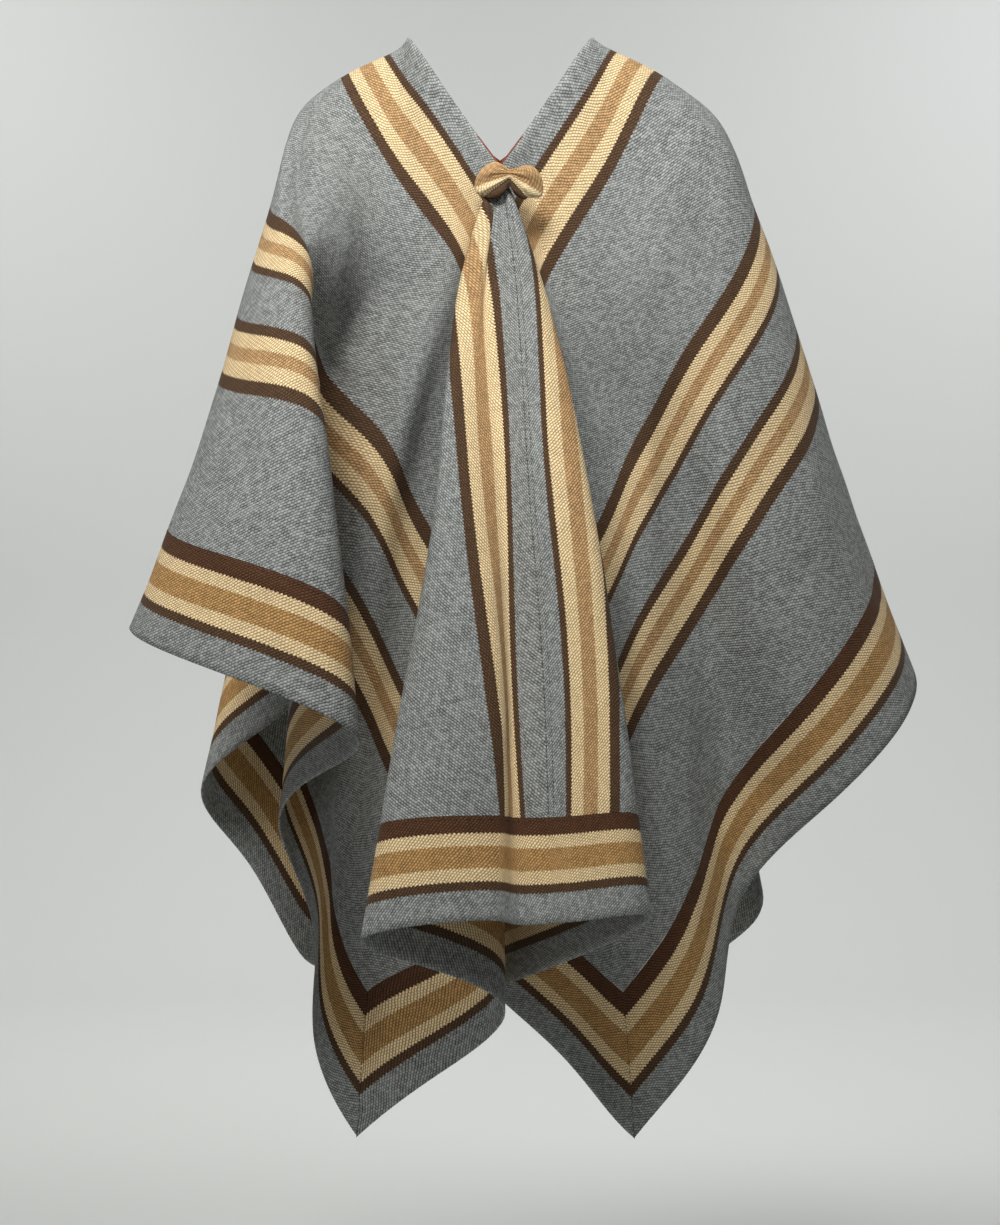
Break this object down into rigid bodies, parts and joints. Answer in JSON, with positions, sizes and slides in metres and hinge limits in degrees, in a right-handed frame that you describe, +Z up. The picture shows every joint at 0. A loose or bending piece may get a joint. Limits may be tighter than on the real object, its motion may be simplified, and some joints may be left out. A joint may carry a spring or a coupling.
{
  "type": "andean poncho",
  "caption": "Worn wool poncho held open as if on shoulders: slit neck with a gathered bow, a forward pleat, side arm folds and a striped sewn band.",
  "frame": {"origin": "middle of the neck opening at the height of the shoulders, where the garment is held", "axes": "+Z up, the wearer faces -Y, +X towards the wearer's left"},
  "size_m": [0.7994, 0.7775, 1.1552],
  "materials": {
    "panel_left": "heathered wool twill with stripes",
    "panel_right": "heathered wool twill with stripes",
    "border_front": "striped wool band",
    "border_back": "striped wool band",
    "border_side_left": "striped wool band",
    "border_side_right": "striped wool band",
    "neck_bow": "gathered striped wool"
  },
  "bodies": {
    "root": {"panel_left": "panel_left", "panel_right": "panel_right", "border_front": "border_front", "border_back": "border_back", "border_side_left": "border_side_left", "border_side_right": "border_side_right", "neck_bow": "neck_bow"}
  },
  "joints": []
}
